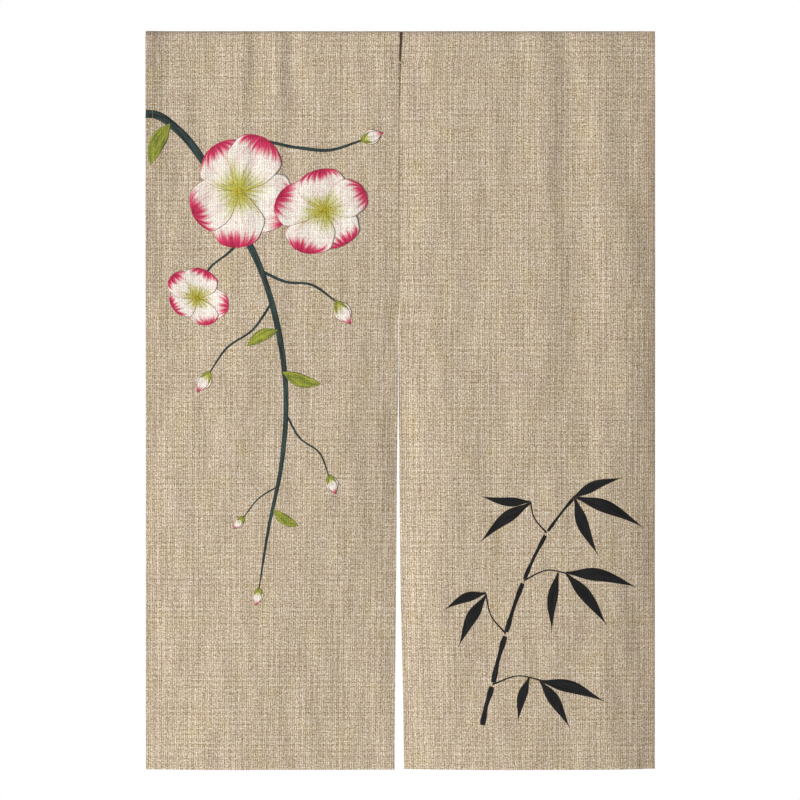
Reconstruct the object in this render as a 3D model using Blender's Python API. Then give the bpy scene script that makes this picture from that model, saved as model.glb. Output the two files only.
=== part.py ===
# Noren: a split door curtain of two linen-look panels, sewn together over their upper third,
# with an open rod pocket along the top that is slit in the middle.
# Metres, +Z up. The origin is the centre of the top fold, where a rod would carry the curtain.
# The printed front faces -Y, and the cloth hangs down to negative Z.

import math
from collections import namedtuple

import bpy

# Driving dimensions
WIDTH = 0.850            # left edge to right edge
HEIGHT = 1.233           # top fold to hem
POCKET_HEIGHT = 0.051    # top fold to the row of stitches under the rod pocket
POCKET_DEPTH = 0.018     # front face to back face of the open pocket
SEAM_LENGTH = 0.397      # sewn length below the pocket, down to where the free slit starts
SIDE_HEM = 0.014         # width of the turned-in hem on the outer edges
SLIT_HEM = 0.010         # width of the turned-in allowance along the seam and the slit
FOOT_HEM = 0.020         # height of the hem at the foot
CLOTH = 0.0015           # thickness of one layer as modelled
HEM_CLOTH = 0.0027       # thickness where the cloth is turned in
POCKET_CLOTH = 0.0012    # thickness of the pocket's walls
POCKET_SEWN = 0.003      # height of the closed, sewn strip at the pocket's foot
BACK_SLIT_SHIFT = 0.005  # the slit stands further right in the back wall, so the front one looks dark
GAP = 0.0003             # clearance between neighbouring pieces

# How the surface is divided
COARSE_STEP = 0.016      # column spacing on plain cloth
FINE_STEP = 0.006        # column spacing across a gather
GATHER_WIDTH = 0.020     # folds with a smaller half width than this count as gathers
ROW_COUNT = 13           # rows of faces between the pocket and the foot hem
HEM_STEP = 0.001         # length over which a hem's extra layer ends
SHARP_ANGLE = math.radians(40)

# The hang of the cloth: depths are positive away from the viewer
FRONT_Y = -0.0080        # front face of the flat cloth
CROWN = 0.0045           # how far the middle of each panel stands forward
CROWN_DROP = 0.35        # drop below the top over which that crown forms
RIPPLE = 0.0008          # slow unevenness over the whole cloth
RIPPLE_WIDTH = 0.23
RIPPLE_DROP = 0.61

LEFT = -1
RIGHT = 1

# Folds: place across at the top and at the foot, half width, depth at the top and at the foot,
# and the drop over which the top's depth gives way to the foot's
Fold = namedtuple("Fold", "side name x_top x_foot half_width depth_top depth_foot fade")
FOLDS = (
    Fold(LEFT, "outer edge", -0.425, -0.425, 0.036, -0.0022, 0.0020, 0.80),
    Fold(LEFT, "first gather crest", -0.263, -0.266, 0.009, -0.0012, 0.0000, 0.26),
    Fold(LEFT, "first gather valley", -0.243, -0.246, 0.009, 0.0013, 0.0000, 0.26),
    Fold(LEFT, "second gather crest", -0.206, -0.208, 0.010, -0.0014, 0.0000, 0.32),
    Fold(LEFT, "second gather valley", -0.181, -0.184, 0.013, 0.0020, 0.0003, 0.32),
    Fold(LEFT, "inner swell", -0.090, -0.080, 0.040, -0.0008, -0.0008, 0.60),
    Fold(LEFT, "slit edge", -0.001, -0.010, 0.026, 0.0018, 0.0035, 0.70),
    Fold(RIGHT, "slit edge", -0.001, 0.007, 0.045, 0.0018, 0.0085, 0.70),
    Fold(RIGHT, "inner gather crest", 0.150, 0.158, 0.018, -0.0008, 0.0000, 0.30),
    Fold(RIGHT, "inner gather valley", 0.188, 0.196, 0.018, 0.0010, 0.0000, 0.30),
    Fold(RIGHT, "main gather crest", 0.233, 0.246, 0.014, -0.0017, -0.0002, 0.45),
    Fold(RIGHT, "main gather valley", 0.268, 0.290, 0.017, 0.0026, 0.0002, 0.50),
    Fold(RIGHT, "outer crest", 0.326, 0.338, 0.026, -0.0010, -0.0008, 0.60),
    Fold(RIGHT, "outer edge", 0.425, 0.425, 0.052, 0.0030, 0.0078, 0.45),
)

# Inner edges of the two panels, measured down from the top fold
SEAM_X = -0.0012
InnerEdge = namedtuple("InnerEdge", "name drop left_x right_x")
INNER_EDGES = (
    InnerEdge("pocket top", 0.0, -0.0013, 0.0018),
    InnerEdge("pocket foot", POCKET_HEIGHT - GAP, -0.0025, 0.0007),
    InnerEdge("seam start", POCKET_HEIGHT, SEAM_X - GAP / 2, SEAM_X + GAP / 2),
    InnerEdge("slit start", POCKET_HEIGHT + SEAM_LENGTH, SEAM_X - GAP / 2, SEAM_X + GAP / 2),
    InnerEdge("upper slit", 0.680, -0.0062, -0.0017),
    InnerEdge("middle slit", 0.830, -0.0068, -0.0012),
    InnerEdge("lower slit", 0.950, -0.0078, 0.0010),
    InnerEdge("slit above the hem", 1.100, -0.0092, 0.0048),
    InnerEdge("foot", HEIGHT, -0.0102, 0.0065),
)

# Section of the rod pocket from its sewn foot to its top fold: share of the height, set-back of
# the front wall, place of the back wall behind the front face, and how much of the front wall's
# folds the back wall takes
PocketStation = namedtuple("PocketStation", "share front back follow")
POCKET_SECTION = (
    PocketStation(0.00, 0.0000, 0.0027, 1.0),
    PocketStation(0.30, 0.0000, 0.0125, 0.3),
    PocketStation(0.65, 0.0000, POCKET_DEPTH, 0.0),
    PocketStation(0.91, 0.0014, 0.0150, 0.0),
    PocketStation(1.00, 0.0080, 0.0080, 0.0),
)

LINEN_COLOUR = (0.527, 0.429, 0.309)
LINEN_ROUGHNESS = 0.9


def outer_edge(side):
    return side * WIDTH / 2


def inner_edge(side, drop):
    # Straight between the measured places
    above = INNER_EDGES[0]
    for below in INNER_EDGES[1:]:
        if drop <= below.drop:
            break
        above = below
    share = (drop - above.drop) / (below.drop - above.drop)
    start = above.left_x if side == LEFT else above.right_x
    end = below.left_x if side == LEFT else below.right_x
    return start + share * (end - start)


def folds_at(side, x, drop):
    # Each fold is a bell curve across the cloth, whose place and depth change down the cloth
    total = 0.0
    for fold in FOLDS:
        if fold.side != side:
            continue
        place = fold.x_top + (fold.x_foot - fold.x_top) * drop / HEIGHT
        near_top = math.exp(-((drop / fold.fade) ** 2))
        depth = fold.depth_top * near_top + fold.depth_foot * (1 - near_top)
        total += depth * math.exp(-(((x - place) / fold.half_width) ** 2))
    return total


def front_y(side, x, drop):
    # The folds, the crown of the panel and a slow ripple, all added to the flat cloth
    formed = 1 - math.exp(-((drop / CROWN_DROP) ** 2))
    half_panel = WIDTH / 4
    across = (x - outer_edge(side) / 2) / half_panel
    crown = CROWN * formed * (1 - across**2)
    ripple = RIPPLE * formed * math.sin(math.tau * (x / RIPPLE_WIDTH + drop / RIPPLE_DROP))
    return FRONT_Y + folds_at(side, x, drop) - crown + ripple


def column_places(side):
    # Distances in from the outer edge, closer together across the gathers
    places = [0.0, SIDE_HEM - HEM_STEP, SIDE_HEM]
    gathers = [fold for fold in FOLDS if fold.side == side and fold.half_width < GATHER_WIDTH]
    full = abs(outer_edge(side) - inner_edge(side, POCKET_HEIGHT))
    last = full - SLIT_HEM
    while last - places[-1] > COARSE_STEP:
        x = outer_edge(side) - side * places[-1]
        gathered = any(abs(x - fold.x_top) < 2 * fold.half_width for fold in gathers)
        places.append(places[-1] + (FINE_STEP if gathered else COARSE_STEP))
    return places + [last, last + HEM_STEP, full]


def column_x(side, place, drop, shift=0.0):
    # The columns spread or close a little as the inner edge swings or is shifted
    full = abs(outer_edge(side) - inner_edge(side, POCKET_HEIGHT))
    width = abs(outer_edge(side) - inner_edge(side, drop) - shift)
    return outer_edge(side) - side * place * width / full


def cloth_material(name):
    material = bpy.data.materials.new(name)
    material.use_nodes = True
    shader = material.node_tree.nodes["Principled BSDF"]
    shader.inputs["Base Color"].default_value = (*LINEN_COLOUR, 1)
    shader.inputs["Roughness"].default_value = LINEN_ROUGHNESS
    shader.inputs["Metallic"].default_value = 0
    material.diffuse_color = (*LINEN_COLOUR, 1)
    return material


def add_object(name, vertices, faces, parent):
    mesh = bpy.data.meshes.new(name)
    mesh.from_pydata(vertices, [], faces)
    mesh.shade_smooth()
    mesh.set_sharp_from_angle(angle=SHARP_ANGLE)
    mesh.materials.append(cloth_material(name + "_linen"))
    piece = bpy.data.objects.new(name, mesh)
    piece.parent = parent
    bpy.context.collection.objects.link(piece)
    return piece


def make_panel(name, side, parent):
    # A sheet facing -Y, thickened backwards, with thicker bands where the hems are turned in
    places = column_places(side)
    hem_line = HEIGHT - FOOT_HEM
    row_height = (hem_line - POCKET_HEIGHT) / ROW_COUNT
    drops = [POCKET_HEIGHT + row * row_height for row in range(ROW_COUNT)]
    drops += [hem_line, hem_line + HEM_STEP, HEIGHT]
    vertices = []
    for drop in drops:
        for place in places:
            x = column_x(side, place, drop)
            vertices.append((x, front_y(side, x, drop), -drop))
    columns = len(places)
    faces = []
    for row in range(len(drops) - 1):
        for column in range(columns - 1):
            corner = row * columns + column
            face = [corner, corner + columns, corner + columns + 1, corner + 1]
            faces.append(face if side == LEFT else face[::-1])
    panel = add_object(name, vertices, faces, parent)
    turned_in = panel.vertex_groups.new(name="turned in")
    for index in range(len(vertices)):
        row, column = divmod(index, columns)
        if column in (0, 1, columns - 2, columns - 1) or row >= len(drops) - 2:
            turned_in.add([index], 1.0, "REPLACE")
    thicken = panel.modifiers.new("Cloth thickness", "SOLIDIFY")
    thicken.thickness = HEM_CLOTH
    thicken.offset = -1
    thicken.vertex_group = turned_in.name
    thicken.thickness_vertex_group = CLOTH / HEM_CLOTH


def pocket_outline(side, place, wall, sewn):
    # Points up the front wall, over the top fold and down the back wall, one wall in from outside
    foot = POCKET_HEIGHT - GAP
    apex_y = POCKET_SECTION[-1].front
    front_points = []
    back_points = []
    for station in POCKET_SECTION:
        drop = wall + (1 - station.share) * (foot - sewn - wall)
        x = column_x(side, place, drop)
        back_x = column_x(side, place, drop, BACK_SLIT_SHIFT * (1 - station.follow))
        folded = folds_at(side, x, drop)
        front_share = 1 - station.front / apex_y
        front_points.append((x, FRONT_Y + station.front + front_share * folded + wall, -drop))
        back_points.append((back_x, FRONT_Y + station.back + station.follow * folded - wall, -drop))
    apex = (front_points[-1][0], FRONT_Y + apex_y, front_points[-1][2])
    return front_points[:-1] + [apex] + back_points[-2::-1]


def make_heading(name, side, parent):
    # A sleeve open at both ends: an outer and an inner outline carried across the cloth
    places = column_places(side)
    vertices = []
    for place in places:
        vertices += pocket_outline(side, place, 0.0, 0.0)
        vertices += pocket_outline(side, place, POCKET_CLOTH, POCKET_SEWN)
    around = len(vertices) // (2 * len(places))
    last = 2 * around * (len(places) - 1)
    faces = []
    for step in range(around):
        ahead = (step + 1) % around
        for column in range(len(places) - 1):
            outer = 2 * around * column
            beyond = outer + 2 * around
            faces.append([outer + ahead, outer + step, beyond + step, beyond + ahead])
            inner = outer + around
            beyond += around
            faces.append([inner + step, inner + ahead, beyond + ahead, beyond + step])
        faces.append([step, ahead, around + ahead, around + step])
        faces.append([last + ahead, last + step, last + around + step, last + around + ahead])
    if side == RIGHT:
        faces = [face[::-1] for face in faces]
    add_object(name, vertices, faces, parent)


for old in list(bpy.data.objects):
    bpy.data.objects.remove(old)

top_edge = bpy.data.objects.new("top_edge", None)
bpy.context.collection.objects.link(top_edge)
for hand, hand_side in (("left", LEFT), ("right", RIGHT)):
    make_panel("panel_" + hand, hand_side, top_edge)
    make_heading("heading_" + hand, hand_side, top_edge)
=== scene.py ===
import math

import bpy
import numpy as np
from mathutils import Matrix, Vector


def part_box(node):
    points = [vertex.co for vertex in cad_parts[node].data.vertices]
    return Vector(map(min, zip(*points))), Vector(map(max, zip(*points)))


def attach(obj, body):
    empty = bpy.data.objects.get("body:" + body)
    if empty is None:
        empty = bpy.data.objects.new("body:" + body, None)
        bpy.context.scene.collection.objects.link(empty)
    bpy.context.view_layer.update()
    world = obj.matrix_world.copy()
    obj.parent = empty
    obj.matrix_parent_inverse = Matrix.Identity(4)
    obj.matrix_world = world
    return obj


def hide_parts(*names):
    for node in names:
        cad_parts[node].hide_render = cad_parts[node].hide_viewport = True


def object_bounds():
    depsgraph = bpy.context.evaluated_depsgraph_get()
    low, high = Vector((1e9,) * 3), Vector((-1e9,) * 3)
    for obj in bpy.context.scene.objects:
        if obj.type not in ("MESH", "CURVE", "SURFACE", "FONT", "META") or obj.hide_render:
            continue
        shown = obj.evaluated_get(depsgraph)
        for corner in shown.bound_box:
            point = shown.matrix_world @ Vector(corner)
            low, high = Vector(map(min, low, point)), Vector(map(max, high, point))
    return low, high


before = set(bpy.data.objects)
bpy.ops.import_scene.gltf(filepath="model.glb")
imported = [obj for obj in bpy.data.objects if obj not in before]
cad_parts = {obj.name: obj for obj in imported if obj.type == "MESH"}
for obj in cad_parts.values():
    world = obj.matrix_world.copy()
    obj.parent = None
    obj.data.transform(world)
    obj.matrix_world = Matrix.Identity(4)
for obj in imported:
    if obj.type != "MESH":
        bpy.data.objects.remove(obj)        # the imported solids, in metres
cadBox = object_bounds()

# A split door curtain, hung flat: two linen panels with turned hems and a rod pocket, their sewing
# and a print. The front faces -Y. A drop is a distance down from the top fold, and a side is
# -1 for the left panel and 1 for the right one.

left, right = -1, 1
sideNames = {left: "left", right: "right"}

# Camera, straight on at the height of the curtain's middle

view = {
    "frameHeight": 1.3342,  # metres of cloth that the square picture takes in
    "lens": 100,  # mm
    "sensor": 36,  # mm
    "centreX": -0.0011,
    "centreDrop": 0.6165,
    "planeY": -0.008,  # the cloth's front face
}

cameraData = bpy.data.cameras.new("camera")
cameraData.lens = view["lens"]
cameraData.sensor_width = view["sensor"]
camera = bpy.data.objects.new("camera", cameraData)
cameraDistance = view["frameHeight"] * view["lens"] / view["sensor"]
camera.location = (view["centreX"], view["planeY"] - cameraDistance, -view["centreDrop"])
camera.rotation_euler = (math.radians(90), 0, 0)
bpy.context.collection.objects.link(camera)
bpy.context.scene.camera = camera


# Small helpers for colours, nodes and meshes

def linear(hexColour):  # an sRGB hex colour as the linear RGBA that a shader takes
    parts = [int(hexColour[i:i + 2], 16) / 255 for i in (1, 3, 5)]
    return [c / 12.92 if c <= 0.04045 else ((c + 0.055) / 1.055) ** 2.4 for c in parts] + [1]


def addNode(tree, kind, links=None, values=None, **settings):
    # kind without ShaderNode; links and values by the input's name or number; settings the node's own
    node = tree.nodes.new("ShaderNode" + kind)
    for name, value in settings.items():
        setattr(node, name, value)
    for key, value in (values or {}).items():
        node.inputs[key].default_value = value
    for key, socket in (links or {}).items():
        tree.links.new(socket, node.inputs[key])
    return node


def makeMaterial(name, paint, relief, finish):
    # paint adds the nodes and gives colour and height, relief is the bump's strength and how far
    # the surface stands up in metres, finish holds the shader's own values
    material = bpy.data.materials.new(name)
    material.use_nodes = True
    tree = material.node_tree
    shader = tree.nodes["Principled BSDF"]
    colour, height = paint(tree)
    bump = addNode(tree, "Bump", {"Height": height}, {"Strength": relief[0], "Distance": relief[1]})
    tree.links.new(colour, shader.inputs["Base Color"])
    tree.links.new(bump.outputs["Normal"], shader.inputs["Normal"])
    for socket, value in finish.items():
        shader.inputs[socket].default_value = value
    return material


def makePiece(name, points, faces, look, maps):
    # points is an n by 3 array, faces a list of index arrays, maps UV arrays with a row per corner
    mesh = bpy.data.meshes.new(name)
    mesh.from_pydata(points.tolist(), [], [f for block in faces for f in block.tolist()])
    for mapName, corners in maps.items():
        layer = mesh.uv_layers.new(name=mapName)
        layer.data.foreach_set("uv", np.ascontiguousarray(corners, dtype=np.float32).ravel())
    mesh.shade_smooth()
    mesh.materials.append(look)
    piece = bpy.data.objects.new(name, mesh)
    bpy.context.collection.objects.link(piece)
    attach(piece, "root")
    print(name, "faces", len(mesh.polygons))
    return piece


def gridNormals(grid):  # unit normals of a grid of points, towards -Y for a cloth seen from the front
    across = np.gradient(grid, axis=1)
    down = np.gradient(grid, axis=0)
    normal = np.cross(down, across)
    return normal / np.linalg.norm(normal, axis=2, keepdims=True)


def sheetFaces(rows, columns):
    # Quads of a closed thin sheet: front grid, back grid, and the rim that joins their borders;
    # then the grid's point at each corner
    index = np.arange(rows * columns).reshape(rows, columns)
    front = np.stack([index[:-1, :-1], index[1:, :-1], index[1:, 1:], index[:-1, 1:]], axis=2).reshape(-1, 4)
    back = front[:, ::-1] + rows * columns
    loop = np.concatenate([index[:-1, 0], index[-1, :-1], index[:0:-1, -1], index[0, :0:-1]])
    ahead = np.roll(loop, -1)
    rim = np.stack([ahead, loop, loop + rows * columns, ahead + rows * columns], axis=1)
    faces = front, back, rim
    return faces, np.concatenate([block.ravel() for block in faces]) % (rows * columns)


def bakeLayout(flat, faces):
    # One square for baking: the front layer, the back layer to its right, and the rim's four sides
    # as narrow strips beside them, all at one scale
    rows, columns = flat.shape[:2]
    front, back = faces[:2]
    low = flat.reshape(-1, 2).min(axis=0)
    width, length = flat.reshape(-1, 2).max(axis=0) - low
    margin, gap, stripWidth = 0.01, 0.04, 0.006
    scale = (1 - 2 * margin) / length
    spread = (flat.reshape(-1, 2) - low) * scale + margin
    spread = np.concatenate([spread, spread + [width * scale + margin, 0]])
    turns = (rows - 1, columns - 1) * 2
    number = np.repeat(np.arange(4), turns)
    start = np.concatenate([np.arange(n) / n for n in turns])
    step = np.repeat([1 / n for n in turns], turns)
    near = 2 * width * scale + gap + number * 2 * stripWidth
    far = near + stripWidth
    lower, upper = margin + (1 - 2 * margin) * np.array([start, start + step])
    strip = np.stack([near, upper, near, lower, far, lower, far, upper], 1).reshape(-1, 2)
    return np.concatenate([spread[front.ravel()], spread[back.ravel()], strip])


def thickSheet(name, middle, flat, look):
    # The middle surface moved half the cloth's thickness out to each side; flat gives each point's
    # place on the cloth in metres, before it was folded and hung
    rows, columns = middle.shape[:2]
    offset = gridNormals(middle) * cloth["thickness"] / 2
    points = np.concatenate([(middle + offset).reshape(-1, 3), (middle - offset).reshape(-1, 3)])
    faces, corners = sheetFaces(rows, columns)
    maps = {"flat": flat.reshape(-1, 2)[corners], "OFBake": bakeLayout(flat, faces)}
    return makePiece(name, points, faces, look, maps)


def smoothThrough(places, values, at):
    # A curve through the given values: cubic pieces whose slopes come from the neighbours
    places, values = np.asarray(places, float), np.asarray(values, float)
    slopes = np.gradient(values, places, axis=0)
    i = np.clip(np.searchsorted(places, at, side="right") - 1, 0, len(places) - 2)
    span = places[i + 1] - places[i]
    t = np.clip((at - places[i]) / span, 0, 1)
    if values.ndim > 1:
        t, span = t[:, None], span[:, None]
    start = values[i] * (2 * t**3 - 3 * t**2 + 1) + slopes[i] * span * (t**3 - 2 * t**2 + t)
    return start + values[i + 1] * (3 * t**2 - 2 * t**3) + slopes[i + 1] * span * (t**3 - t**2)


def smoothStep(low, high, value):  # 0 below low, 1 above high, eased between them
    t = np.clip((value - low) / (high - low), 0, 1)
    return t * t * (3 - 2 * t)


def runAlong(points):  # length along a line of points, from 0 at its first one
    return np.concatenate([[0], np.cumsum(np.linalg.norm(np.diff(points, axis=0), axis=1))])


def bell(distance, reach):  # 1 where the distance is 0, and nearly 0 from twice the reach on
    return np.exp(-(distance / reach) ** 2)


# The hang of the cloth

hang = {
    "outerX": {left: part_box("panel_left")[0][0], right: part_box("panel_right")[1][0]},
    "height": -cadBox[0][2],
    "frontY": -0.008,
    "crown": 0.0045,  # how far the middle of each panel stands forward
    "crownDrop": 0.35,
    "ripple": (0.0008, 0.23, 0.61),  # depth, length across, length down
    # in mm: place at the top, place at the foot, half width, depth at the top, depth at the foot,
    # drop over which the top's depth gives way; depths are positive away from the viewer
    "folds": {
        left: (
            (-425, -425, 36, -2.2, 2, 800),  # outer edge
            (-263, -266, 9, -1.2, 0, 260),  # first gather
            (-243, -246, 9, 1.3, 0, 260),
            (-206, -208, 10, -1.4, 0, 320),  # second gather
            (-181, -184, 13, 2, 0.3, 320),
            (-90, -80, 40, -0.8, -0.8, 600),  # inner swell
            (-1, -10, 26, 1.8, 3.5, 700),  # slit edge
        ),
        right: (
            (-1, 7, 45, 1.8, 8.5, 700),  # slit edge
            (150, 158, 18, -0.8, 0, 300),  # inner gather
            (188, 196, 18, 1, 0, 300),
            (233, 246, 14, -1.7, -0.2, 450),  # main gather
            (268, 290, 17, 2.6, 0.2, 500),
            (326, 338, 26, -1, -0.8, 600),  # outer crest
            (425, 425, 52, 3, 7.8, 450),  # outer edge
        ),
    },
    "pocketDrop": 0.051,  # stitched line under the rod pocket
    "slitDrop": 0.448,  # end of the seam
    "seamX": -0.0012,
    "seamGap": 0.0002,
    "seamLap": 0.0005,  # how far the right panel's seam edge reaches behind the left one's
    # drops over which the seam closes and the lap begins, from pocketDrop, and ends, from slitDrop
    "seamCloses": (-0.0006, 0.0012),
    "lapBegins": (0.0, 0.004),
    "lapEnds": (-0.04, -0.014),
    # in mm: drop, inner edge of the left panel, inner edge of the right panel
    "pocketEdges": ((0, -1.4, 2.4), (50.7, -2.7, 1.3)),
    "slitEdges": (
        (448, -1.3, -1.1), (480, -3.4, -2.6), (560, -3.7, -2.9), (620, -4.4, -3), (680, -5.6, -2.8),
        (830, -6.8, -1.2), (950, -7.9, 0.3), (1100, -9.4, 3.8), (1233, -10.4, 5.8),
    ),
}


def innerX(side, drop):
    # Leaning edges in the pocket, then the straight seam, where the right panel laps behind the
    # left one, then the free slit
    column = 1 if side == left else 2
    pocket, slit = np.array(hang["pocketEdges"]) / 1000, np.array(hang["slitEdges"]) / 1000
    underPocket, underSeam = drop - hang["pocketDrop"], drop - hang["slitDrop"]
    seam = hang["seamX"] + side * hang["seamGap"] / 2
    inPocket = np.interp(drop, pocket[:, 0], pocket[:, column])
    free = smoothThrough(slit[:, 0], slit[:, column], drop)
    x = np.where(drop < hang["slitDrop"], seam, free)
    if side == right:
        lapped = smoothStep(*hang["lapBegins"], underPocket)
        x = x - hang["seamLap"] * lapped * (1 - smoothStep(*hang["lapEnds"], underSeam))
    close = smoothStep(*hang["seamCloses"], underPocket)
    return inPocket * (1 - close) + x * close


def hangOffset(side, x, drop):
    # Depth behind the flat front: bell-shaped folds, the crown of the panel and a slow ripple
    total = np.zeros(np.broadcast(x, drop).shape)
    for top, foot, width, deepTop, deepFoot, fade in np.array(hang["folds"][side]) / 1000:
        nearTop = bell(drop, fade)
        place = top + (foot - top) * drop / hang["height"]
        depth = deepTop * nearTop + deepFoot * (1 - nearTop)
        total += depth * bell(x - place, width)
    formed = 1 - bell(drop, hang["crownDrop"])
    half = abs(hang["outerX"][side]) / 2
    depth, across, down = hang["ripple"]
    wave = np.sin(math.tau * (x / across + drop / down))
    return total - hang["crown"] * formed * (1 - ((x - side * half) / half) ** 2) + depth * formed * wave


# Finer unevenness that the solids leave out

uneven = {
    # depth, length across, length down, phase
    "waves": (
        (0.0003, 0.083, 0.31, 0.3), (0.00022, -0.061, 0.23, 1.9), (0.00016, 0.043, -0.37, 4.1),
        (0.00014, 0.029, 0.14, 2.2),
    ),
    # in mm: place at the top, how far it leans by the foot, half width, depth, drop of the deepest
    # point, half length
    "creases": {
        left: (
            (-445, 0, 35, -4.2, 0, 500),  # outer edge curls forward
            (-417, 0, 18, -2, 0, 200), (-325, 0, 26, 1.7, 320, 500), (-309, 0, 40, -1.8, 1120, 120),
            (-200, 0, 90, 1, 0, 250), (-101, 0, 40, 2, 0, 320), (-77, 0, 40, 2.2, 1200, 200),
            (-53, 0, 13, 0.7, 640, 500),
            (-1, -9, 26, -0.9, 200, 1200),  # flatter beside the seam
            (0, 0, 16, -2, 0, 80),  # the sleeve opens forward
            (-2, -6, 18, 0.6, 560, 220),  # slit edges stand level
            (-1, -9, 24, -2.9, 1230, 140), (-12, 0, 35, -1.8, 1120, 160),
        ),
        right: (
            (0, 5, 45, -2.7, 600, 400),  # no shadow from the left edge
            (0, 0, 35, 1.2, 0, 100), (2, 5, 16, 0.4, 1000, 500), (5, 1, 45, -1.5, 1230, 260),
            (26, 0, 18, -1.4, 1040, 500), (60, 0, 50, -0.8, 0, 250), (62, 0, 40, -2, 640, 500),
            (82, 0, 40, 1.6, 400, 120), (146, 0, 13, 1.2, 240, 120), (158, 0, 40, 2.2, 640, 200),
            (200, 0, 18, 0.9, 0, 100), (234, 0, 13, 1, 0, 500), (254, 0, 18, -1, 160, 120),
            (284, 0, 15, 1.1, 0, 80),
            (288, 15, 17, 1.4, 100, 350),  # the main gather's far side
            (310, 0, 26, 2.3, 400, 500), (342, 0, 26, -1.8, 240, 120), (362, 0, 18, 1.4, 0, 120),
            (374, 0, 18, -1.5, 480, 120), (382, 0, 45, -3, 400, 130), (425, 0, 85, 2.2, 0, 90),
            (425, 0, 52, -5, 620, 360),  # outer edge turns more sharply
            (436, 0, 26, 3.8, 620, 420), (440, 0, 30, 1.4, 1230, 250),
        ),
    },
    "edgeRoll": 0.0005,  # the outer edges roll, the left forward and the right back
    "edgeReach": 0.0024,
    "puckerDepth": 0.00014,  # stitches draw the cloth in
    "puckerLength": 0.018,
    "puckerReach": 0.007,
    # how far the puckers of the side, foot and pocket rows wander, radians a metre, and phase
    "puckerWander": ((0.004, 37, 0), (0.004, 41, 0), (0.003, 53, 1)),
    "sideHem": 0.014,  # widths of the turned-in edges
    "slitHem": 0.01,
    "footHem": 0.02,
    "seamStep": 0.0003,  # the right panel's seam edge lies behind the left one's
    "seamReach": 0.01,
    "seamRoll": 0.0005,  # and the left one's edge rolls back towards it
    "rollReach": 0.0018,
    "sewnBegins": (-0.008, -0.001),  # drops from the pocket's row of stitches
    "sewnEnds": (-0.012, 0.04),  # and from the seam's end
    "lip": 0.0004,  # the left slit edge lifts towards the viewer under the seam
    "lipReach": 0.004,
    "lipDrops": (0.45, 0.475, 0.56, 0.68),
}


def unevenOffset(side, x, drop):
    # Small sine waves, bell-shaped creases, puckers along the rows of stitches, the step at the
    # seam and the lip
    total = np.zeros(np.broadcast(x, drop).shape)
    for depth, across, down, phase in uneven["waves"]:
        total += depth * np.sin(math.tau * (x / across + drop / down) + phase + side)
    for top, lean, width, depth, deepest, reach in np.array(uneven["creases"][side]) / 1000:
        place = top + lean * drop / hang["height"]
        total += depth * bell(drop - deepest, reach) * bell(x - place, width)
    outer = np.abs(x - hang["outerX"][side])
    inner = np.abs(x - innerX(side, drop))
    along = math.tau / uneven["puckerLength"]
    rows = ((outer - uneven["sideHem"], drop), (hang["height"] - drop - uneven["footHem"], x),
            (drop - hang["pocketDrop"], x))
    for (distance, run), (swing, rate, phase) in zip(rows, uneven["puckerWander"]):
        gather = 0.6 + np.sin(along * (run + swing * np.sin(run * rate + phase)))
        total += uneven["puckerDepth"] * bell(distance, uneven["puckerReach"]) * gather
    sewn = smoothStep(*uneven["sewnBegins"], drop - hang["pocketDrop"])
    sewn = sewn * (1 - smoothStep(*uneven["sewnEnds"], drop - hang["slitDrop"]))
    total += side * uneven["edgeRoll"] * bell(outer, uneven["edgeReach"])
    if side == right:
        total += uneven["seamStep"] * sewn * bell(inner, uneven["seamReach"])
    else:
        start, full, fade, end = uneven["lipDrops"]
        lifted = smoothStep(start, full, drop) * (1 - smoothStep(fade, end, drop))
        total -= uneven["lip"] * lifted * bell(inner, uneven["lipReach"])
        total += uneven["seamRoll"] * sewn * bell(inner, uneven["rollReach"])
    return total


def frontY(side, x, drop):  # the front face of the hanging cloth
    return hang["frontY"] + hangOffset(side, x, drop) + unevenOffset(side, x, drop)


# The two cloths: one woven sheet each, whose edges are turned to the back

cloth = {
    "thickness": 0.00055,
    "turn": 0.00034,  # radius of a turned edge
    "stripColumns": 4,  # of the turned-in strip, then of its bend
    "bendColumns": 7,
    "footTurn": 0.0011,  # radius of the foot's fold, over the side hems' layers
    "frontColumns": 112,
    "edgeCrowding": 0.8,  # how much closer the columns stand at the edges
    "frontRows": 215,
    "backSlitShift": 0.005,  # the slit stands further right in the pocket's back wall
    # in mm: drop and depth behind the front of the pocket's section, from its turned-under end,
    # round its foot, up the back wall, over the top fold and down the front
    "pocket": (
        (45, 5.2), (49.2, 1.8), (52, 0.8), (55.6, 0.8), (56.2, 1.2), (55.6, 1.6), (52.4, 1.7),
        (50, 4), (45.5, 8.2), (38, 12.2), (27.5, 15.6), (16.5, 17.2), (8, 16), (3, 12.6),
        (0.6, 8.6), (0.6, 6.2), (2.2, 3.2), (5.2, 1.2), (9.5, 0.2), (14, 0),
    ),
    "pocketRows": 62,
    "foot": 4,  # which of those points is the pocket's foot
    "apex": 15,  # and which starts the front wall
    "backFolds": (0.03, 0.052),  # drops between which the back wall takes on the folds
    "foldless": 0.0086,  # depth at which the top fold has lost them
    "shiftRun": 0.004,  # length over which the back slit moves over
    "footBendRows": 8,
    "footStripRows": 5,
}


def turnedEdge(hem, radius):
    # Along the strip and round a half circle: distance in from the edge, depth behind the front
    strip = np.linspace(hem, radius, cloth["stripColumns"] + 1)[:-1]
    angle = np.linspace(math.pi / 2, 3 * math.pi / 2, cloth["bendColumns"])
    inward = np.concatenate([strip, radius + radius * np.cos(angle)]) + cloth["thickness"] / 2
    behind = np.concatenate([0 * strip + 2 * radius, radius + radius * np.sin(angle)])
    return inward, behind


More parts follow.
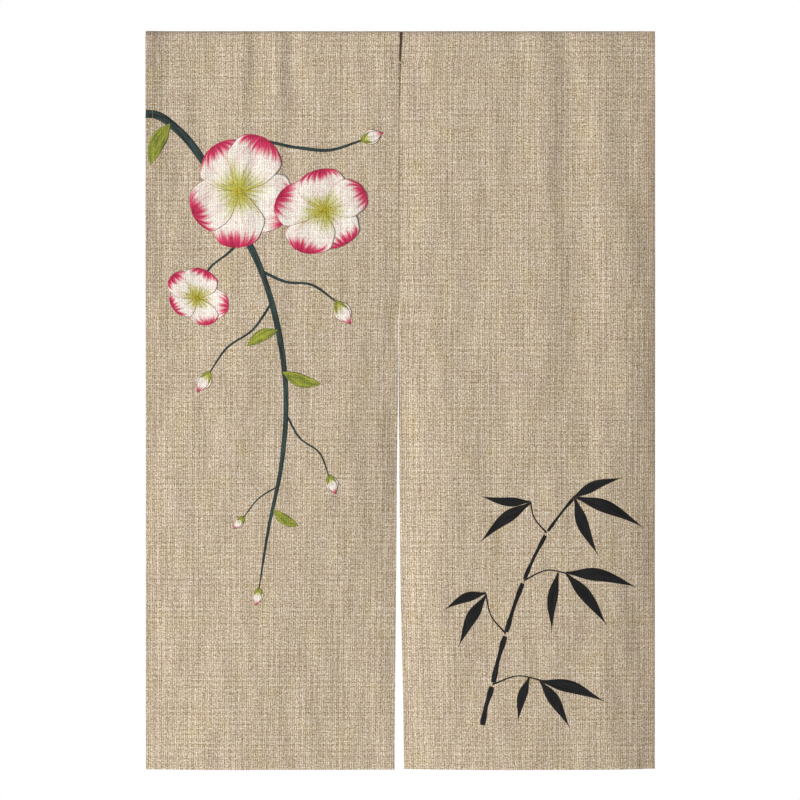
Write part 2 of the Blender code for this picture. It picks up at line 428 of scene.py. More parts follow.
def acrossPath(side):
    # Columns from the outer hem's raw edge to the slit hem's: share of the way between the edges,
    # offset in from the outer one, depth behind, and length along the cloth from the outer fold
    radius = cloth["turn"]
    outerIn, outerBehind = turnedEdge(uneven["sideHem"], radius)
    innerIn, innerBehind = turnedEdge(uneven["slitHem"], radius)
    s = np.linspace(0, 1, cloth["frontColumns"])[1:-1]
    crowded = (1 - np.cos(math.pi * s)) / 2
    share = (1 - cloth["edgeCrowding"]) * s + cloth["edgeCrowding"] * crowded
    shares = np.concatenate([0 * outerIn, share, 1 + 0 * innerIn])
    offsets = np.concatenate([outerIn, outerIn[-1] * (1 - 2 * share), -innerIn[::-1]])
    behind = np.concatenate([outerBehind, 0 * share, innerBehind[::-1]])
    inward = shares * abs(hang["outerX"][side] - hang["seamX"]) + offsets
    flat = runAlong(np.stack([inward, behind], 1))
    fold = cloth["stripColumns"] + cloth["bendColumns"] // 2
    return shares, offsets, behind, flat - flat[fold]


def downPath():
    # Rows from the pocket's turned-under end to the foot hem's raw edge: drop, depth, how much of
    # the folds each row takes, how far the back slit is shifted, and length along the cloth
    section = np.array(cloth["pocket"]) / 1000
    chord = runAlong(section)
    apexRun = chord[cloth["apex"]]
    run = np.linspace(0, chord[-1], cloth["pocketRows"])
    pocket = smoothThrough(chord, section, run)
    backWall = run < apexRun
    takes = np.where(backWall, smoothStep(*cloth["backFolds"], pocket[:, 0]),
                     1 - pocket[:, 1] / cloth["foldless"])
    shifted = np.where(backWall & (run > chord[cloth["foot"]]),
                       smoothStep(0, cloth["shiftRun"], apexRun - run), 0)
    rise = cloth["footTurn"]
    lowest = hang["height"] - cloth["thickness"] / 2
    frontDrop = np.linspace(section[-1, 0], lowest - rise, cloth["frontRows"])[1:]
    angle = np.linspace(math.pi / 2, -math.pi / 2, cloth["footBendRows"] + 1)[1:]
    bendDrop = lowest - rise + rise * np.cos(angle)
    bendDepth = rise - rise * np.sin(angle)
    stripEnd = hang["height"] - uneven["footHem"]
    stripDrop = np.linspace(lowest - rise, stripEnd, cloth["footStripRows"] + 1)[1:]
    drop = np.concatenate([pocket[:, 0], frontDrop, bendDrop, stripDrop])
    depth = np.concatenate([pocket[:, 1], 0 * frontDrop, bendDepth, 0 * stripDrop + 2 * rise])
    takes = np.concatenate([np.clip(takes, 0, 1), np.ones(len(drop) - len(takes))])
    shifted = np.concatenate([shifted, np.zeros(len(drop) - len(shifted))])
    return drop, depth, takes, shifted, runAlong(np.stack([drop, depth], 1))


def clothGrid(side):
    # Middle surface of the sheet: the hanging front, with each edge's path laid behind it along
    # the direction that is behind the cloth at that row
    shares, offsets, behind, flatAcross = acrossPath(side)
    drop, depth, takes, shifted, flatDown = downPath()
    alongDrop, alongDepth = np.gradient(drop), np.gradient(depth)
    length = np.hypot(alongDrop, alongDepth)
    behindDrop, behindDepth = -alongDepth / length, alongDrop / length
    inner = innerX(side, drop) + cloth["backSlitShift"] * shifted
    outer = hang["outerX"][side]
    x = outer + (inner[:, None] - outer) * shares[None, :] - side * offsets[None, :]
    rowDrop = np.repeat(drop[:, None], len(shares), axis=1)
    folded = hangOffset(side, x, rowDrop) + unevenOffset(side, x, rowDrop)
    y = hang["frontY"] + cloth["thickness"] / 2 + takes[:, None] * folded + depth[:, None]
    y = y + behind[None, :] * behindDepth[:, None]
    z = -(rowDrop + behind[None, :] * behindDrop[:, None])
    grid = np.stack([x, y, z], axis=2)
    flat = np.stack(np.broadcast_arrays(side + flatAcross[None, :], flatDown[:, None]), axis=2)
    if side == right:
        grid, flat = grid[:, ::-1], flat[:, ::-1]
    return grid, flat, (float(np.ptp(flatAcross)), float(flatDown[-1]))


# Linen: thick and thin yarns in a plain weave, unbleached, with slubs and cloudy patches

linen = {
    # Real yarns stand about 0.6 mm apart, too fine to show, so they are drawn 3.7 mm apart.
    # Direction across the rows, mm from row to row, how strongly they show, and how far they
    # wander, in radians of their wave
    "rows": (
        ("X", 3.73, 0.32, 3.6), ("Y", 4.1, 0.1, 6.0),
        ("X", 10.7, 0.085, 1.0),  # every third yarn or so is a little thicker
        ("X", 9.1, 0.07, 1.0), ("Y", 10.6, 0.062, 1.0), ("Y", 8.9, 0.073, 1.0),
    ),
    # size across and down in mm, detail, strength
    "grain": (
        (2.0, 2.4, 0, 1.12),  # crossings of single yarns
        (2.2, 24.0, 0, 0.3),  # thick and thin stretches of warp
        (17.0, 2.4, 0, 0.2),  # thick and thin stretches of weft
        (3.0, 90.0, 0, 0.22),  # yarns that are thick or thin for a hand's width
        (90.0, 3.0, 0, 0.18),
        (3.0, 3.6, 0, 0.58),  # slubs
        (52.0, 70.0, 1, 0.11),  # cloudy patches
    ),
    "cloud": (46, 58, 2),  # size and detail of the tinted clouds and of the flecks
    "fleckSize": (3.6, 7.5, 0),
    "dark": "#86724f",
    "middle": "#c0ad93",
    "pale": "#f2e7d6",
    "mauve": "#fbf8fb",  # tints that the cloudy patches are multiplied by
    "straw": "#fefdf5",
    "rightEdgeShade": "#b78f74",  # painted shade: the band along the right edge, which turns away from the light, is mixed a little towards this darker red-brown
    "rightEdgeShadeWidth": 0.022,  # metres across the painted shade band
    "fleck": "#eab596",  # rust-coloured flecks that the cloth is multiplied by
    "relief": (0.5, 0.0006),  # the yarns stand up by about a third of a millimetre
    # matt and faintly fuzzy
    "finish": {"Roughness": 0.88, "Specular IOR Level": 0.2, "Sheen Weight": 0.08,
               "Sheen Roughness": 0.5},
}


def scaledNoise(tree, place, scale, detail, roughness):  # noise on place times scale
    scaled = addNode(tree, "VectorMath", {0: place}, {1: scale}, operation="MULTIPLY")
    return addNode(tree, "TexNoise", {"Vector": scaled.outputs[0]},
                   {"Scale": 1, "Detail": detail, "Roughness": roughness}).outputs["Fac"]


def clothNoise(tree, place, across, down, detail):  # noise whose grains are that many mm in size
    return scaledNoise(tree, place, (1000 / across, 1000 / down, 1), detail, 0.6)


def yarnRows(tree, place, direction, pitch, wander):  # a sine wave with a wandering phase
    return addNode(tree, "TexWave", {"Vector": place},
                   {"Scale": 1000 * math.tau / 20 / pitch, "Distortion": wander,
                    "Detail": 1, "Detail Scale": 0.14}, bands_direction=direction).outputs["Fac"]


def weightedSum(tree, fields, start):  # start + each field's distance from one half, times its weight
    total = None
    for field, weight in fields:
        offset = start - weight / 2 if total is None else -weight / 2
        node = addNode(tree, "Math", {0: field}, {1: weight, 2: offset}, operation="MULTIPLY_ADD")
        if total is not None:
            node = addNode(tree, "Math", {0: node.outputs[0], 1: total}, operation="ADD")
        total = node.outputs[0]
    return total


def layOver(tree, under, over, field, low, high, full=1.0, least=0.0, mode="MIX"):
    # One colour over another, its cover eased from least to full as the field goes from low to
    # high; a colour is a hex string or a socket
    cover = addNode(tree, "MapRange", {"Value": field},
                    {"From Min": low, "From Max": high, "To Min": least, "To Max": full},
                    interpolation_type="SMOOTHSTEP")
    links, values = {"Factor": cover.outputs[0]}, {}
    for key, colour in ((6, under), (7, over)):
        if isinstance(colour, str):
            values[key] = linear(colour)
        else:
            links[key] = colour
    return addNode(tree, "Mix", links, values, data_type="RGBA", blend_type=mode).outputs[2]


def linenWeave():
    # Node group: the bare cloth's colour with painted shade along the right edge, its tone around one half,
    # and the height of its yarns
    group = bpy.data.node_groups.new("linenWeave", "ShaderNodeTree")
    for name, kind in (("Colour", "Color"), ("Tone", "Float"), ("Height", "Float")):
        group.interface.new_socket(name, in_out="OUTPUT", socket_type="NodeSocket" + kind)
    place = addNode(group, "UVMap", uv_map="flat").outputs["UV"]
    rows = [(yarnRows(group, place, direction, pitch, wander), strength)
            for direction, pitch, strength, wander in linen["rows"]]
    grain = [(clothNoise(group, place, *layer[:3]), layer[3]) for layer in linen["grain"]]
    height = weightedSum(group, rows + grain[:1], 0.5)
    tone = weightedSum(group, rows + grain, 0.5)
    ramp = addNode(group, "ValToRGB", {"Fac": tone})
    ramp.color_ramp.elements[0].color = linear(linen["dark"])
    ramp.color_ramp.elements[1].color = linear(linen["pale"])
    ramp.color_ramp.elements.new(0.5).color = linear(linen["middle"])
    colour = ramp.outputs["Color"]
    cloud = clothNoise(group, place, *linen["cloud"])
    colour = layOver(group, colour, linen["mauve"], cloud, 0.52, 0.7, mode="MULTIPLY")
    colour = layOver(group, colour, linen["straw"], cloud, 0.48, 0.32, mode="MULTIPLY")
    across = addNode(group, "SeparateXYZ", {0: place}).outputs[0]
    fromEdge = addNode(group, "Math", {0: across}, {1: right}, operation="SUBTRACT").outputs[0]
    apart = addNode(group, "Math", {0: fromEdge}, operation="ABSOLUTE").outputs[0]
    # painted shade: the band along the right edge is made a little darker and redder, where that edge turns
    # away from the light
    colour = layOver(group, colour, linen["rightEdgeShade"], apart, linen["rightEdgeShadeWidth"], 0.0, 0.2)
    flecks = clothNoise(group, place, *linen["fleckSize"])
    colour = layOver(group, colour, linen["fleck"], flecks, 0.7, 0.8, 0.28, mode="MULTIPLY")
    output = group.nodes.new("NodeGroupOutput")
    for socket, place in zip((colour, tone, height), output.inputs):
        group.links.new(socket, place)
    return group


def paintLinen(tree):
    woven = addNode(tree, "Group", node_tree=weaveGroup)
    return woven.outputs["Colour"], woven.outputs["Height"]


weaveGroup = linenWeave()
clothLook = makeMaterial("unbleachedLinen", paintLinen, linen["relief"], linen["finish"])
rowDrops, *_, rowRuns = downPath()
frontRow = cloth["pocketRows"]
frontRun = float(rowRuns[frontRow] - rowDrops[frontRow])  # from a drop to a length along the cloth
for side, sideName in sideNames.items():
    grid, flat, size = clothGrid(side)
    piece = thickSheet("cloth_" + sideName, grid, flat, clothLook)
    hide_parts("panel_" + sideName, "heading_" + sideName)
    print("cut to", [round(v, 3) for v in size])

# Sewing: thread that comes up in short stitches on both faces of each hem and of the pocket

sewing = {
    "pitch": 0.0033,
    "length": 0.0023,
    "radius": 0.00034,
    "sides": 5,  # of each stitch's cross-section
    "rings": (0.0, 0.25, 0.5, 0.75, 1.0),  # along the stitch
    "ringSizes": (0.45, 0.95, 1.0, 0.95, 0.45),
    "sunk": 0.0003,  # how deep the thread lies in the cloth
    "backDepth": {"side": 0.00125, "slit": 0.00125, "foot": 0.00275, "pocket": 0.00215},
    "fromRaw": 0.002,  # rows stand this far in from the hem's raw edge
    "outerThread": "#c3b095",
    "innerThread": "#cbbaa0",
    "twistShade": "#9c8a70",
    "relief": (0.4, 0.0002),
    "finish": {"Roughness": 0.6},  # a little smoother than the cloth
    # where the rows start and end, from the top, the slit's top, the foot and the middle
    "sideStart": 0.01,
    "slitStart": 0.004,
    "downEnd": 0.006,
    "footSpan": (0.012, 0.419),
    "pocketSpan": (0.003, 0.422),
    "pocketBelow": 0.0008,  # the pocket's row lies this far under the line itself
}


def stitchRows(side, names):
    # For each row the x and the drop of all starts and ends, and the depth of the hem's back face
    pitch, length = sewing["pitch"], sewing["length"]
    lowest = hang["height"] - sewing["downEnd"]
    sideX = hang["outerX"][side] - side * (uneven["sideHem"] - sewing["fromRaw"])
    inward = side * (uneven["slitHem"] - sewing["fromRaw"])
    footDrop = hang["height"] - uneven["footHem"] + sewing["fromRaw"]
    pocketDrop = hang["pocketDrop"] + sewing["pocketBelow"]
    down = np.arange(sewing["sideStart"], lowest, pitch)
    slitDown = np.arange(hang["slitDrop"] + sewing["slitStart"], lowest, pitch)
    slitX, slitEndX = innerX(side, slitDown) + inward, innerX(side, slitDown + length) + inward
    footX = np.sort(side * np.arange(*sewing["footSpan"], pitch))
    pocketX = np.sort(side * np.arange(*sewing["pocketSpan"], pitch))
    # x of the start and the end, then their drops
    rows = {
        "side": (sideX, sideX, down, down + length),
        "slit": (slitX, slitEndX, slitDown, slitDown + length),
        "foot": (footX, footX + length, footDrop, footDrop),
        "pocket": (pocketX, pocketX + length, pocketDrop, pocketDrop),
    }
    for name in names:
        spots = np.stack(np.broadcast_arrays(*rows[name])).reshape(2, 2, -1)
        yield spots, sewing["backDepth"][name]


def stitches(name, side, rows, look):
    # Each stitch is a straight thread: rings of points round the line from its start to its end, as
    # wide as ringSizes says, closed by a point at either end
    sides, sizes = sewing["sides"], np.array(sewing["ringSizes"]) * sewing["radius"]
    spots, proud = [], sewing["radius"] - sewing["sunk"]
    for (x, drop), backDepth in stitchRows(side, rows):
        for depth in (-proud, backDepth + proud):
            spots.append(np.stack([x, frontY(side, x, drop) + depth, -drop], 2))
    start, end = np.concatenate(spots, axis=1)
    along = (end - start) / np.linalg.norm(end - start, axis=1, keepdims=True)
    out = np.cross(along, [0, 1, 0])
    out = out / np.linalg.norm(out, axis=1, keepdims=True)
    up = np.cross(along, out)
    angle = np.arange(sides) / sides * math.tau
    ring = np.cos(angle)[:, None, None] * out + np.sin(angle)[:, None, None] * up
    ringPoints = [start + (end - start) * t + size * ring for t, size in zip(sewing["rings"], sizes)]
    block = np.concatenate([np.stack(ringPoints).reshape(-1, len(start), 3), start[None], end[None]])
    points = block.transpose(1, 0, 2)
    count = points.shape[1]
    corner = np.arange(sides)
    after = (corner + 1) % sides
    last = sides * (len(sizes) - 1)
    walls = np.concatenate([np.stack([corner, after, after + sides, corner + sides], 1) + r * sides
                            for r in range(len(sizes) - 1)])
    caps = np.concatenate([np.stack([after, corner, 0 * corner + count - 2], 1),
                           np.stack([corner + last, after + last, 0 * corner + count - 1], 1)])
    shift = (np.arange(len(points)) * count)[:, None, None]
    faces = [(walls[None] + shift).reshape(-1, 4), (caps[None] + shift).reshape(-1, 3)]
    return makePiece(name, points.reshape(-1, 3), faces, look, {})


def threadMaterial(name, colour):
    # Spun polyester sewing thread: its twist is seen as light and dark turns, drawn 1 mm long
    # because the real 0.4 mm is too fine to show
    def paint(tree):
        place = addNode(tree, "TexCoord").outputs["Object"]
        twist = addNode(tree, "TexNoise", {"Vector": place}, {"Scale": 1000, "Detail": 1}).outputs["Fac"]
        return layOver(tree, sewing["twistShade"], colour, twist, 0.35, 0.65), twist
    return makeMaterial(name, paint, sewing["relief"], sewing["finish"])


outerThread = threadMaterial("brownSewingThread", sewing["outerThread"])
innerThread = threadMaterial("linenSewingThread", sewing["innerThread"])
onCloth = {left: [], right: []}
for side, sideName in sideNames.items():
    onCloth[side] += [
        stitches("side_stitches_" + sideName, side, ("side",), outerThread),
        stitches("hem_stitches_" + sideName, side, ("slit", "foot", "pocket"), innerThread),
    ]


# The print: ink that sits in the cloth's face, one thin closed film for each petal, leaf or stroke

printing = {
    "lift": 0.00016,  # of the lowest layer in front of the cloth
    "layer": 0.00004,  # further for each layer over it
    "sink": 0.00012,  # the film's back lies this deep in the cloth
    "narrowest": 0.15,  # half width in mm
    # waves of a patch's two edges: radians, how far the patch's own number shifts them, and phase
    "waver": ((11, 1, 0), (13, 2.3, 1)),
    "cover": (-0.3, 0.35, 0.97, 0.75),  # how the ink covers the yarns, as layOver's last values
    "finish": {"Roughness": 0.8, "Specular IOR Level": 0.2},
}


def patch(centre, halfWidths, rows, columns, layer, frill=0.0, seed=0):
    # A strip of print, in mm: points on a smooth line through centre, moved sideways by s times the
    # half width there, for s from -1 to 1, with frill as a share by which the two edges waver
    centre = np.asarray(centre, float)
    run = runAlong(centre)
    t = (1 - np.cos(np.linspace(0, math.pi, rows))) / 2
    line = smoothThrough(run, centre, t * run[-1])
    tangent = np.gradient(line, t, axis=0)
    tangent = tangent / np.linalg.norm(tangent, axis=1, keepdims=True)
    sideways = np.stack([tangent[:, 1], -tangent[:, 0]], 1)
    widths = smoothThrough(np.linspace(0, 1, len(halfWidths)), halfWidths, t)
    widths = np.maximum(widths, printing["narrowest"])
    s = np.linspace(-1, 1, columns)
    waver = [np.sin(rate * t[:, None] + own * seed + phase) for rate, own, phase in printing["waver"]]
    waver = np.where(s < 0, *waver)
    reach = widths[:, None] * s * (1 + frill * waver * t[:, None])
    spot = line[:, None] + reach[..., None] * sideways[:, None]
    edge = widths[:, None] * (1 - np.abs(s))
    ts = np.stack(np.broadcast_arrays(t[:, None], s[None]), 2)
    more = np.stack([edge, np.full_like(edge, (seed * 0.618) % 1)], 2)
    return {"spot": spot, "ts": ts, "more": more, "layer": layer}


def printed(name, side, patches, look):
    # Every patch laid on the cloth's front face and closed behind, all in one mesh; maps: flat is
    # the place on the cloth, ts the place along and across the patch, more the distance in from
    # the patch's edge in mm and a number of its own
    points, blocks, maps = [], [], {"flat": [], "ts": [], "more": []}
    count = 0
    for piece in patches:
        x, drop = piece["spot"].transpose(2, 0, 1) / 1000
        y = frontY(side, x, drop)
        front = y - printing["lift"] - piece["layer"] * printing["layer"]
        back = y + printing["sink"]
        points += [np.stack([x, depth, -drop], 2).reshape(-1, 3) for depth in (front, back)]
        faces, corners = sheetFaces(*x.shape)
        piece["flat"] = np.stack([side - side * (x - hang["outerX"][side]), drop + frontRun], 2)
        for key, found in maps.items():
            found.append(piece[key].reshape(-1, 2)[corners])
        blocks.append(np.concatenate(faces) + count)
        count += 2 * x.size
    maps = {key: np.concatenate(found) for key, found in maps.items()}
    return makePiece(name, np.concatenate(points), blocks, look, maps)


def turned(points, angle):  # a list of (x, drop) turned clockwise as seen from the front
    c, s = math.cos(angle), math.sin(angle)
    return np.asarray(points, float) @ np.array([[c, s], [-s, c]])


# A drooping branch with five-petalled blossoms and buds

bough = {
    # lengths in mm, points as (x, drop); line of the bough and its half widths, then each twig's
    # line and half width
    "main": (
        (-424.6, 140), (-410, 141), (-372, 166), (-325, 224), (-276, 312), (-232, 402), (-203, 505),
        (-191, 615), (-199, 725), (-221, 835), (-236, 930),
    ),
    "mainWidths": (6.8, 6.6, 6, 6.4, 4.8, 5, 4.2, 4, 3.2, 2.4, 1),
    "twigs": (
        (((-330, 218), (-285, 196), (-235, 186), (-170, 196), (-120, 200), (-66, 184)), 3.4),
        (((-262, 345), (-288, 372), (-318, 396), (-332, 420)), 2.4),
        (((-232, 402), (-190, 420), (-150, 424), (-108, 452)), 2.6),
        (((-215, 455), (-247, 500), (-290, 530), (-318, 570)), 2.2),
        (((-191, 640), (-168, 680), (-135, 705), (-120, 742)), 1.8),
        (((-204, 760), (-236, 780), (-262, 812)), 1.4),
    ),
    # centre, radius, turn, squash, direction of the squash, layer
    "blossoms": (
        ((-270, 268), 96, 0.3, 0.92, 0.4, 2), ((-128, 300), 82, 0.85, 0.84, 1.2, 10),
        ((-340, 446), 56, 0.1, 0.8, 2.2, 2),
    ),
    # foot of the bud, direction, length
    "buds": (
        ((-108, 452), 1, 46), ((-318, 570), 2.15, 40), ((-120, 742), 1.2, 34),
        ((-262, 812), 2.3, 26), ((-236, 930), 1.75, 30), ((-66, 184), -0.35, 40),
    ),
    # foot of the leaf, direction, length, half width
    "leaves": (
        ((-385, 156), 2.05, 76, 13), ((-196, 570), 0.35, 66, 11), ((-205, 500), 2.7, 58, 10),
        ((-212, 800), 0.6, 50, 8.5),
    ),
    # a petal widens as a quarter of a sine wave up to this share of its length, then rounds off
    # as a quarter of an ellipse; its greatest half width is the second share of its length
    "petal": (0.58, 0.5),
}


def blossom(centre, radius, turn, squash, squashAngle, layer):
    # Five petals round a centre, each over the last, and stamens, all squashed along one direction,
    # as a flower looks that faces a little to the side
    petals, stamens = [], []
    u = np.linspace(0, 1, 61)
    full, wide = bough["petal"]
    for k in range(5):
        angle = turn + k * math.tau / 5 + 0.1 * math.sin(3.7 * k + 9 * turn)
        length = radius * (1 + 0.07 * math.sin(5.1 * k + 4 * turn))
        curl = 0.1 * math.sin(2.9 * k + turn)
        line = turned([(0.05 * length, 0), (0.5 * length, curl * length / 2), (length, curl * length)], angle)
        widths = np.where(u < full, 0.22 + 0.78 * np.sin(math.pi / 2 * u / full),
                          np.sqrt(1 - np.clip((u - full) / (1 - full), 0, 1) ** 2)) * length * wide
        petals.append(patch(line, widths, 40, 27, layer + k, 0.07, seed=k + 7 * turn))
    for k in range(18):
        angle = turn + k * math.tau / 18 + 0.12 * math.sin(5 * k)
        reach = radius * (0.3 + 0.09 * math.sin(7.3 * k))
        line = turned([(0.03 * radius, 0), (reach * 0.6, 0.012 * radius), (reach, 0)], angle)
        stamens.append(patch(line, [0.6, 0.4, 0.4], 9, 3, layer + 6, seed=k))
        tip = turned([(reach - 1.1, 0), (reach + 1.5, 0)], angle)
        stamens.append(patch(tip, [0, 1.3, 1.5, 1.3, 0], 9, 5, layer + 7, seed=k + 3))
    heart = [(-0.095 * radius, 0), (0.095 * radius, 0)]
    stamens.append(patch(heart, [0, 4.5, 5.5, 4.5, 0], 15, 9, layer + 5, seed=1))
    axis = np.array([math.cos(squashAngle), math.sin(squashAngle)])
    for piece in petals + stamens:
        along = piece["spot"] @ axis
        piece["spot"] = piece["spot"] - ((1 - squash) * along)[..., None] * axis + centre
    return petals, stamens


def bud(foot, angle, length):
    # Three overlapping petals that close to a point, in a green cup of two sepals
    petals, cups = [], []
    for lean, share, layer in ((-0.3, 0.88, 3), (0.3, 0.9, 4), (0.0, 1.0, 5)):
        line = np.array([(0.1, 0), (0.5, lean * 0.3), (share, lean * 0.16)]) * length
        widths = np.array([0.35, 0.85, 1.0, 0.85, 0.5, 0.0]) * length * 0.24
        petals.append(patch(turned(line, angle) + foot, widths, 20, 13, layer, seed=9 * share + lean))
    for lean in (-0.5, 0.5):
        line = np.array([(-0.02, 0), (0.18, lean * 0.24), (0.42, lean * 0.42)]) * length
        widths = [1.2, 2.6, 1.8, 0]
        cups.append(patch(turned(line, angle) + foot, widths, 12, 7, 7, seed=lean))
    return petals, cups


def inkMaterial(name, mixInk):
    # Pigment printed into linen: the yarns show through as slight changes of tone, and bare cloth
    # shows between them where the ink is thin; mixInk gives the ink's colour and its cover as the
    # last values of layOver
    def paint(tree):
        woven = addNode(tree, "Group", node_tree=weaveGroup).outputs
        maps = [addNode(tree, "UVMap", uv_map=layer).outputs[0] for layer in ("ts", "more")]
        ts, more = [addNode(tree, "SeparateXYZ", {0: uv}).outputs for uv in maps]
        ink, cover = mixInk(tree, ts, more, woven["Tone"])
        relief = addNode(tree, "MapRange", {"Value": woven["Tone"]},
                         {"From Min": 0.1, "From Max": 0.9, "To Min": 0.72, "To Max": 1.12},
                         interpolation_type="SMOOTHSTEP")
        shaded = addNode(tree, "Mix", {6: ink, 7: relief.outputs[0]}, {0: 1.0},
                         data_type="RGBA", blend_type="MULTIPLY").outputs[2]
        return layOver(tree, woven["Colour"], shaded, *cover), woven["Height"]
    return makeMaterial(name, paint, linen["relief"], printing["finish"])


def alongNoise(tree, ts, more, along, across, detail=2):
    # Noise on the patch's own t and s, different for each patch
    joined = addNode(tree, "CombineXYZ", {0: ts[0], 1: ts[1], 2: more[1]})
    return scaledNoise(tree, joined.outputs[0], (along, across, 40), detail, 0.5)


def paintPetal(tree, ts, more, tone):
    # White with a green throat, a crimson flush that runs in streaks from the tip, and a fine line
    streaks = alongNoise(tree, ts, more, 1.2, 7)
    soft = alongNoise(tree, ts, more, 2.5, 2.5)
    flush = addNode(tree, "Math", {0: streaks, 2: ts[0]}, {1: 0.55}, operation="MULTIPLY_ADD").outputs[0]
    ink = layOver(tree, petalInk["white"], petalInk["shade"], soft, 0.42, 0.72, 0.6)
    ink = layOver(tree, ink, petalInk["throat"], flush, 0.78, 0.3, 0.95)
    ink = layOver(tree, ink, petalInk["flush"], flush, 0.93, 1.16)
    ink = layOver(tree, ink, petalInk["deep"], flush, 1.12, 1.32)
    lines = addNode(tree, "Math", {0: alongNoise(tree, ts, more, 0.8, 17, 0)}, {1: 0.5, 2: 0.018},
                    operation="COMPARE")
    veins = addNode(tree, "Math", {0: lines.outputs[0], 1: ts[0]}, operation="MULTIPLY")
    ink = layOver(tree, ink, petalInk["flush"], veins.outputs[0], 0.2, 0.6, 0.35)
    ink = layOver(tree, ink, petalInk["line"], more[0], 1.25, 0.55, 0.85)
    return ink, (tone, *printing["cover"])


def plainPaint(inks, along, across):
    # Two inks mixed by a noise along the patch, with a darker edge
    def mixInk(tree, ts, more, tone):
        noise = alongNoise(tree, ts, more, along, across)
        ink = layOver(tree, inks["light"], inks["dark"], noise, 0.38, 0.62)
        ink = layOver(tree, ink, inks["line"], more[0], 0.9, 0.3, inks["edge"])
        return ink, (tone, *printing["cover"])
    return mixInk


def paintStroke(tree, ts, more, tone):
    # Black ink from a loaded brush: solid inside, broken by the yarns along its edges
    bristle = alongNoise(tree, ts, more, 3, 9, 1)
    ink = layOver(tree, brushInk["black"], brushInk["thin"], bristle, 0.35, 0.7)
    reach = addNode(tree, "Math", {0: tone, 2: more[0]}, {1: 0.9}, operation="MULTIPLY_ADD")
    return ink, (reach.outputs[0], 0.3, 0.75)


petalInk = {"white": "#fdf6ea", "shade": "#e6cfc6", "throat": "#b9b52c", "flush": "#d6285f",
            "deep": "#a3123f", "line": "#7d2a3c"}
stamenInk = {"light": "#d9cf3a", "dark": "#a9982a", "line": "#7c5a1e", "edge": 0.35}
leafInk = {"light": "#a9ad3c", "dark": "#74802e", "line": "#3c4a22", "edge": 0.8}
barkInk = {"light": "#2f4a4a", "dark": "#142628", "line": "#0f1c1e", "edge": 0.8}
brushInk = {"black": "#141415", "thin": "#2b2a2a"}

petals, stamens, greens, barks = [], [], [], []
for flower in bough["blossoms"]:
    newPetals, newStamens = blossom(*flower)
    petals += newPetals
    stamens += newStamens
for foot, angle, length in bough["buds"]:
    newPetals, newCups = bud(foot, angle, length)
    petals += newPetals
    greens += newCups
for number, (foot, angle, length, halfWidth) in enumerate(bough["leaves"]):
    line = turned([(0, 0), (0.5 * length, 0.05 * length), (length, -0.04 * length)], angle) + foot
    widths = np.array([0.1, 0.6, 0.95, 1, 0.85, 0.55, 0]) * halfWidth
    greens.append(patch(line, widths, 30, 13, 1, seed=number))
barks.append(patch(bough["main"], bough["mainWidths"], 240, 7, 0, seed=1))
for number, (line, width) in enumerate(bough["twigs"]):
    barks.append(patch(line, np.array([1, 0.9, 0.75, 0.8, 0.5]) * width, 60, 5, 0, seed=number + 2))


# A sprig of leaves in black brush strokes

sprig = {
    # in mm: line of each joint of the stem and its half width
    "joints": (
        ((136, 1158), (152, 1094), 4.4), ((154, 1087), (174, 1010), 4.2),
        ((176, 1003), (203, 922), 3.8), ((206, 915), (241, 842), 3.2),
        ((245, 835), (290, 778), 2.5),
    ),
    # line of each twig
    "twigs": (
        ((205, 917), (244, 900), (280, 906)), ((175, 1006), (150, 975), (142, 940)),
        ((153, 1090), (196, 1076), (236, 1084)), ((243, 838), (222, 812), (216, 786)),
    ),
    "twigWidth": 1.4,
    # foot of each leaf, its direction in degrees clockwise from the right, length, half width, bend
    "leaves": (
        ((290, 778), 24, 128, 10.5, 0.1), ((290, 780), 68, 104, 9.8, -0.08),
        ((286, 780), -22, 92, 8.2, 0.12), ((276, 904), 12, 122, 10.8, 0.12),
        ((276, 906), 52, 112, 10.2, 0.06), ((262, 904), 96, 100, 8.6, -0.1),
        ((142, 942), 118, 98, 9.6, -0.08), ((142, 938), 158, 76, 8, -0.14),
        ((216, 788), 142, 108, 9.8, -0.1), ((216, 786), 186, 84, 7.8, 0.1),
        ((232, 1084), 18, 116, 10.4, 0.1), ((232, 1084), 58, 94, 9.4, 0.06),
        ((214, 1078), 104, 78, 7.8, -0.1),
    ),
    # half width along a leaf: a pressed start, full belly and long thin tip
    "leafShape": (0.18, 0.34, 0.62, 0.88, 1.0, 0.98, 0.86, 0.68, 0.48, 0.28, 0.1, 0.0),
}


def sprigStrokes():
    # Joints of the stem as strokes pressed at both ends, twigs as hairlines, leaves as single strokes
    strokes = []
    for start, end, width in sprig["joints"]:
        middle = [(start[0] + end[0]) / 2 - 1.5, (start[1] + end[1]) / 2]
        strokes.append(patch([start, middle, end], np.array([0.9, 1.15, 0.85, 0.8, 0.85, 1.15, 0.9]) * width,
                             40, 7, 0, 0.05, seed=len(strokes)))
    for line in sprig["twigs"]:
        strokes.append(patch(line, np.array([1.2, 0.9, 0.8, 1.0]) * sprig["twigWidth"], 40, 5, 1,
                             seed=len(strokes)))
    for number, (foot, degrees, length, halfWidth, bend) in enumerate(sprig["leaves"]):
        line = turned([(0, 0), (0.5 * length, -bend * length / 2), (length, 0)], math.radians(degrees)) + foot
        strokes.append(patch(line, np.array(sprig["leafShape"]) * halfWidth, 60, 13, 2 + number % 3, 0.05,
                             seed=len(strokes)))
    return strokes


for name, side, patches, ink, mixInk in (
    ("print_bough", left, barks, "tealBlackInk", plainPaint(barkInk, 30, 2)),
    ("print_leaves", left, greens, "leafGreenInk", plainPaint(leafInk, 3, 4)),
    ("print_petals", left, petals, "petalInk", paintPetal),
    ("print_stamens", left, stamens, "stamenYellowInk", plainPaint(stamenInk, 2, 2)),
    ("print_sprig", right, sprigStrokes(), "blackBrushInk", paintStroke),
):
    onCloth[side].append(printed(name, side, patches, inkMaterial(ink, mixInk)))

# Light, floor and backdrop

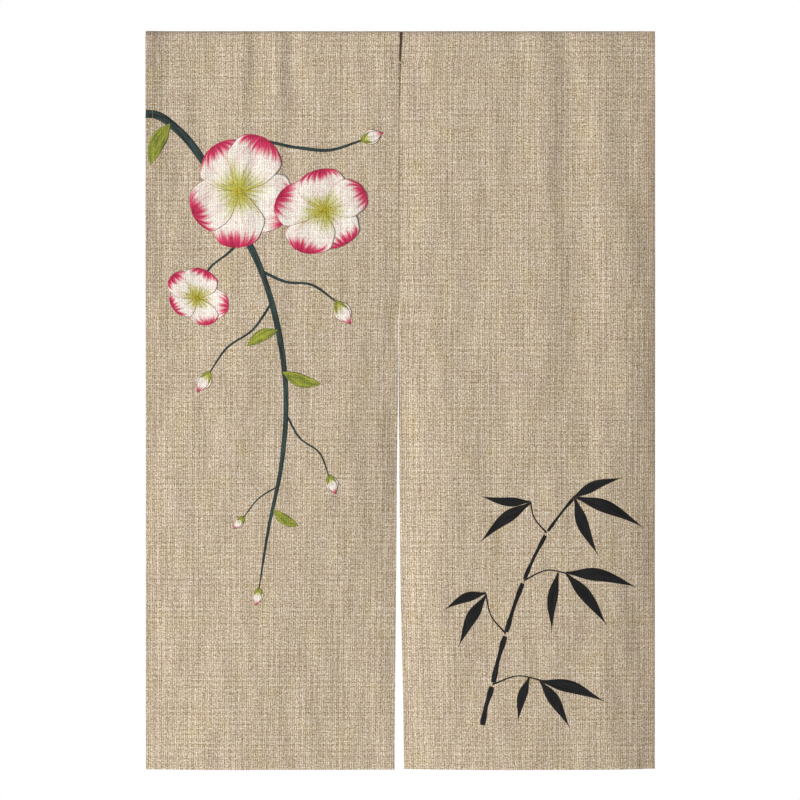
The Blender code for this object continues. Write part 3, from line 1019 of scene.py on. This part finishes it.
studio = {
    # place, size and power
    "lamps": {
        "key": ((-10.0, -5.6, -2.0), 2.6, 1595),  # from the left, so that it rakes over the folds
        "front": ((0.02, -0.55, 0.0), 0.4, 0.22),  # a weak lamp close to the top
        "fill": ((3.0, 4.2, 1.0), 2.5, 230),  # behind the curtain, for its back
    },
    "sky": 0.33,
    "floorDrop": 2.0,
    "floorSize": 3.4,
    "floorColour": "#f2f1ee",
}

for name, (place, size, power) in studio["lamps"].items():
    data = bpy.data.lights.new(name, "AREA")
    data.shape = "DISK"
    data.size = size
    data.energy = power
    lamp = bpy.data.objects.new(name, data)
    lamp.location = place
    lamp.visible_camera = False
    aim = np.array([0, 0, -view["centreDrop"]]) - place
    level = math.hypot(aim[0], aim[1])
    lamp.rotation_euler = (math.atan2(level, -aim[2]), 0, math.atan2(-aim[0], aim[1]))
    bpy.context.collection.objects.link(lamp)

world = bpy.data.worlds.new("studio")
world.use_nodes = True
bpy.context.scene.world = world
sky = world.node_tree
sky.nodes.clear()
seen = addNode(sky, "LightPath")
lit = addNode(sky, "Background", values={"Color": (1, 1, 1, 1), "Strength": studio["sky"]})
white = addNode(sky, "Background", values={"Color": (1, 1, 1, 1), "Strength": 1.0})
mixed = addNode(sky, "MixShader",
                {0: seen.outputs["Is Camera Ray"], 1: lit.outputs[0], 2: white.outputs[0]})
addNode(sky, "OutputWorld", {"Surface": mixed.outputs[0]})

half, floorZ = studio["floorSize"], -studio["floorDrop"]
corners = [(-half, -half, floorZ), (half, -half, floorZ), (half, half, floorZ), (-half, half, floorZ)]
floorMesh = bpy.data.meshes.new("floor")
floorMesh.from_pydata(corners, [], [[0, 1, 2, 3]])
floorLook = bpy.data.materials.new("paleMattPaint")
floorLook.use_nodes = True
floorShader = floorLook.node_tree.nodes["Principled BSDF"]
floorShader.inputs["Base Color"].default_value = linear(studio["floorColour"])
floorShader.inputs["Roughness"].default_value = 0.9
floorMesh.materials.append(floorLook)
floor = bpy.data.objects.new("floor", floorMesh)
bpy.context.collection.objects.link(floor)

bpy.context.scene.view_settings.view_transform = "Standard"
bpy.context.scene.view_settings.look = "None"
